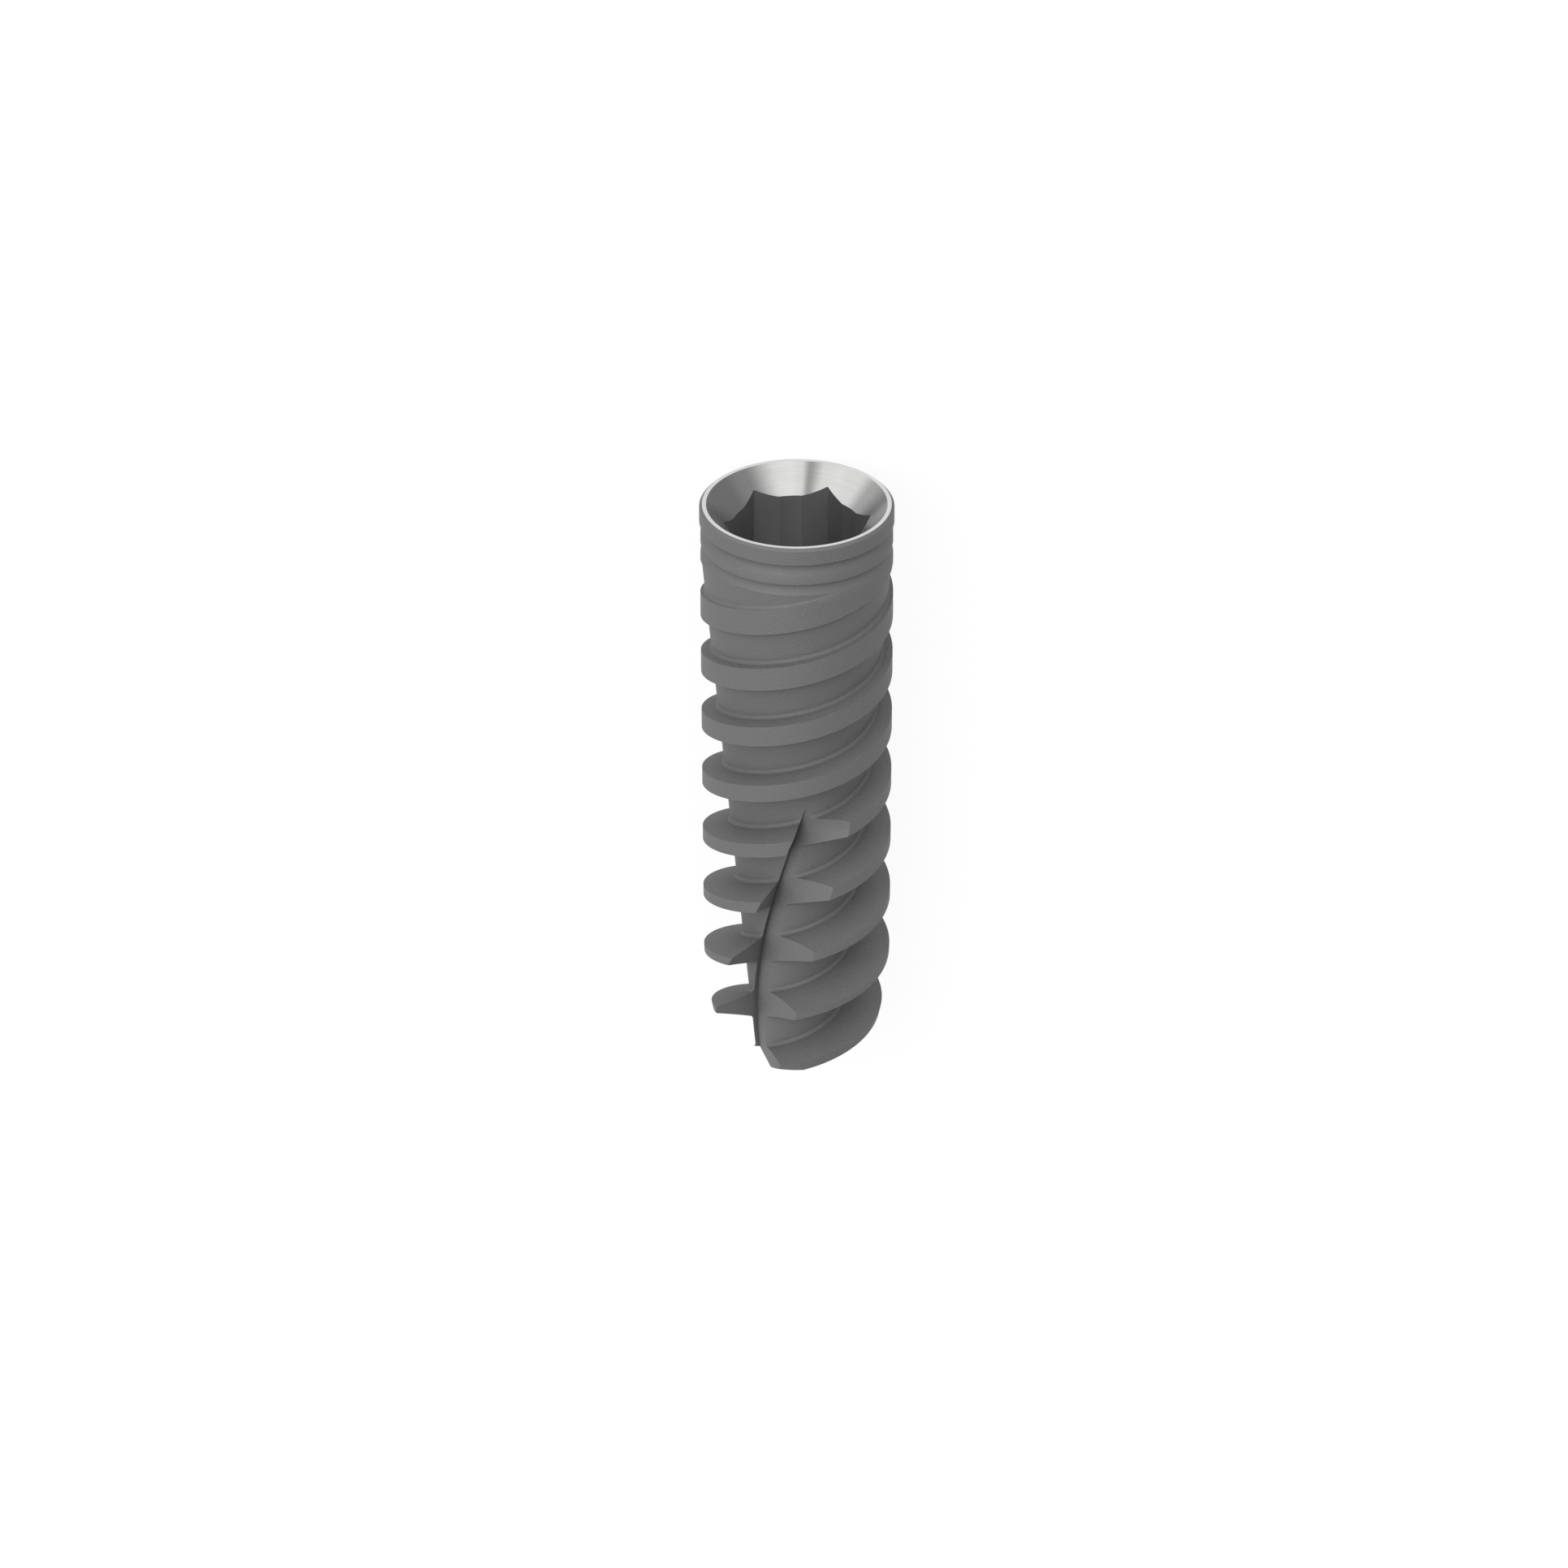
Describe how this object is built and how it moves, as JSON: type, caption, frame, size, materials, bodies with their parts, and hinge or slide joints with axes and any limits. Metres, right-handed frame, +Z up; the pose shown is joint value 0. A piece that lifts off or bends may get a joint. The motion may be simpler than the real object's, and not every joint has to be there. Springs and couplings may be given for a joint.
{
  "type": "dental implant",
  "caption": "Tapered threaded titanium root with spiral cutting flutes and a hexagonal driver socket, screwed into the jawbone to carry an abutment and crown.",
  "frame": {"origin": "centre of the bounding box's bottom: the implant lies on its side on the floor, under the middle of its length", "axes": "+X along the implant's axis, from the tip towards the platform; +Z up"},
  "size_m": [0.012, 0.0038, 0.0038],
  "materials": {
    "blasted_titanium": "titanium, grit-blasted and etched to a dull mid grey on the thread and flutes; bare satin metal on the platform rim, the lead-in cone and the socket"
  },
  "bodies": {
    "root": {"implant_body": "blasted_titanium"}
  },
  "joints": []
}
